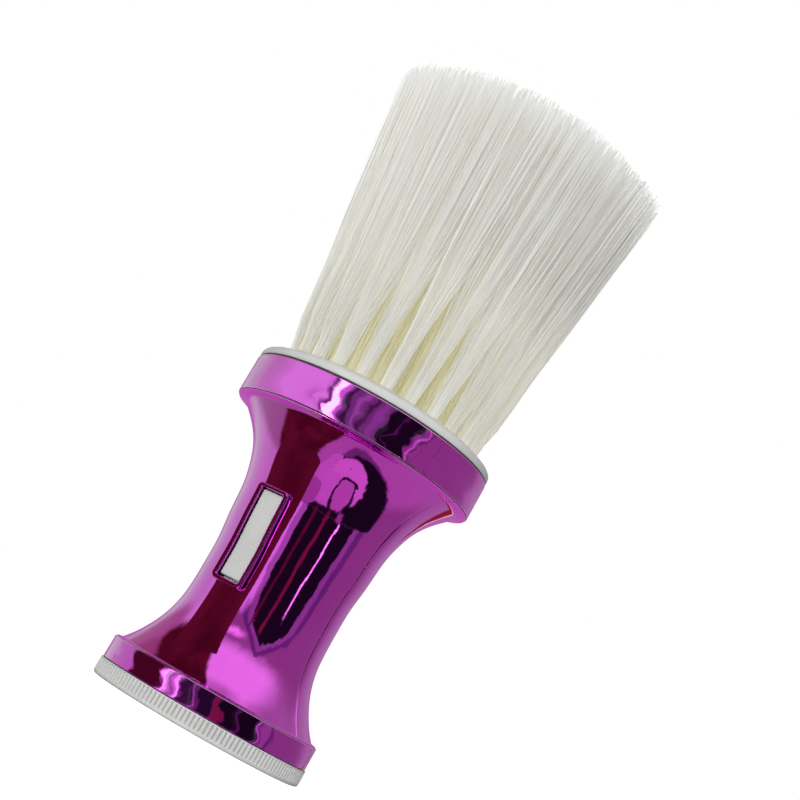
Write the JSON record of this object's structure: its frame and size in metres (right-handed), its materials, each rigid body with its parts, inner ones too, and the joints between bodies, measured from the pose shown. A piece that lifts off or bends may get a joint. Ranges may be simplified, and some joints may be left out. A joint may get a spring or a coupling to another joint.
{
  "type": "neck duster brush",
  "caption": "Round soft-bristle neck duster on a waisted metallised handle that holds powder, with a thumb button that opens the outlet and a ribbed screw-off base cap.",
  "frame": {"origin": "centre of the base cap's flat underside, where the brush stands", "axes": "+Z along the handle towards the bristles; the thumb button faces -Y; the casing's seam lies in the plane Y = 0"},
  "size_m": [0.0746, 0.0746, 0.1686],
  "materials": {
    "metallised_magenta": "polished",
    "white_plastic": "satin",
    "inner_plastic": "matte",
    "bristle": "satin",
    "rubber": "matte",
    "spring_steel": "satin"
  },
  "bodies": {
    "handle": {"front_shell": "metallised_magenta", "rear_shell": "metallised_magenta", "collar_ring": "metallised_magenta", "base_ring": "metallised_magenta", "powder_reservoir": "inner_plastic", "button_guide": "inner_plastic", "tuft_plate": "white_plastic", "tuft_outer_01": "bristle", "tuft_outer_02": "bristle", "tuft_outer_03": "bristle", "tuft_outer_04": "bristle", "tuft_outer_05": "bristle", "tuft_outer_06": "bristle", "tuft_outer_07": "bristle", "tuft_outer_08": "bristle", "tuft_outer_09": "bristle", "tuft_outer_10": "bristle", "tuft_outer_11": "bristle", "tuft_outer_12": "bristle", "tuft_outer_13": "bristle", "tuft_outer_14": "bristle", "tuft_outer_15": "bristle", "tuft_outer_16": "bristle", "tuft_outer_17": "bristle", "tuft_outer_18": "bristle", "tuft_outer_19": "bristle", "tuft_outer_20": "bristle", "tuft_outer_21": "bristle", "tuft_outer_22": "bristle", "tuft_outer_23": "bristle", "tuft_outer_24": "bristle", "tuft_middle_01": "bristle", "tuft_middle_02": "bristle", "tuft_middle_03": "bristle", "tuft_middle_04": "bristle", "tuft_middle_05": "bristle", "tuft_middle_06": "bristle", "tuft_middle_07": "bristle", "tuft_middle_08": "bristle", "tuft_middle_09": "bristle", "tuft_middle_10": "bristle", "tuft_middle_11": "bristle", "tuft_middle_12": "bristle", "tuft_middle_13": "bristle", "tuft_middle_14": "bristle", "tuft_middle_15": "bristle", "tuft_middle_16": "bristle", "tuft_inner_01": "bristle", "tuft_inner_02": "bristle", "tuft_inner_03": "bristle", "tuft_inner_04": "bristle", "tuft_inner_05": "bristle", "tuft_inner_06": "bristle"},
    "button": {"powder_button": "white_plastic"},
    "valve": {"lift_rod": "inner_plastic", "valve_stopper": "rubber", "valve_spring": "spring_steel"},
    "gasket": {"cap_seal": "rubber"},
    "cap": {"base_cap": "white_plastic"}
  },
  "joints": [
    {"name": "button_press", "type": "slide", "parent": "handle", "child": "button", "axis": [0, 1, 0], "range_m": [0, 0.0024], "stiffness_N_per_m": 500, "springref_m": -0.001},
    {"name": "valve_lift", "type": "slide", "parent": "handle", "child": "valve", "axis": [0, 0, 1], "range_m": [0, 0.0024], "deforming": ["valve_spring"]},
    {"name": "cap_travel", "type": "slide", "parent": "handle", "child": "gasket", "axis": [0, 0, -1], "range_m": [0, 0.005]},
    {"name": "cap_turn", "type": "hinge", "parent": "gasket", "child": "cap", "pos_m": [0, 0, 0], "axis": [0, 0, -1], "range_deg": [0, 720]}
  ],
  "couplings": [
    {"joint": "valve_lift", "follows": "button_press", "ratio": 1},
    {"joint": "cap_turn", "follows": "cap_travel", "rad_per_m": 2513.3}
  ]
}
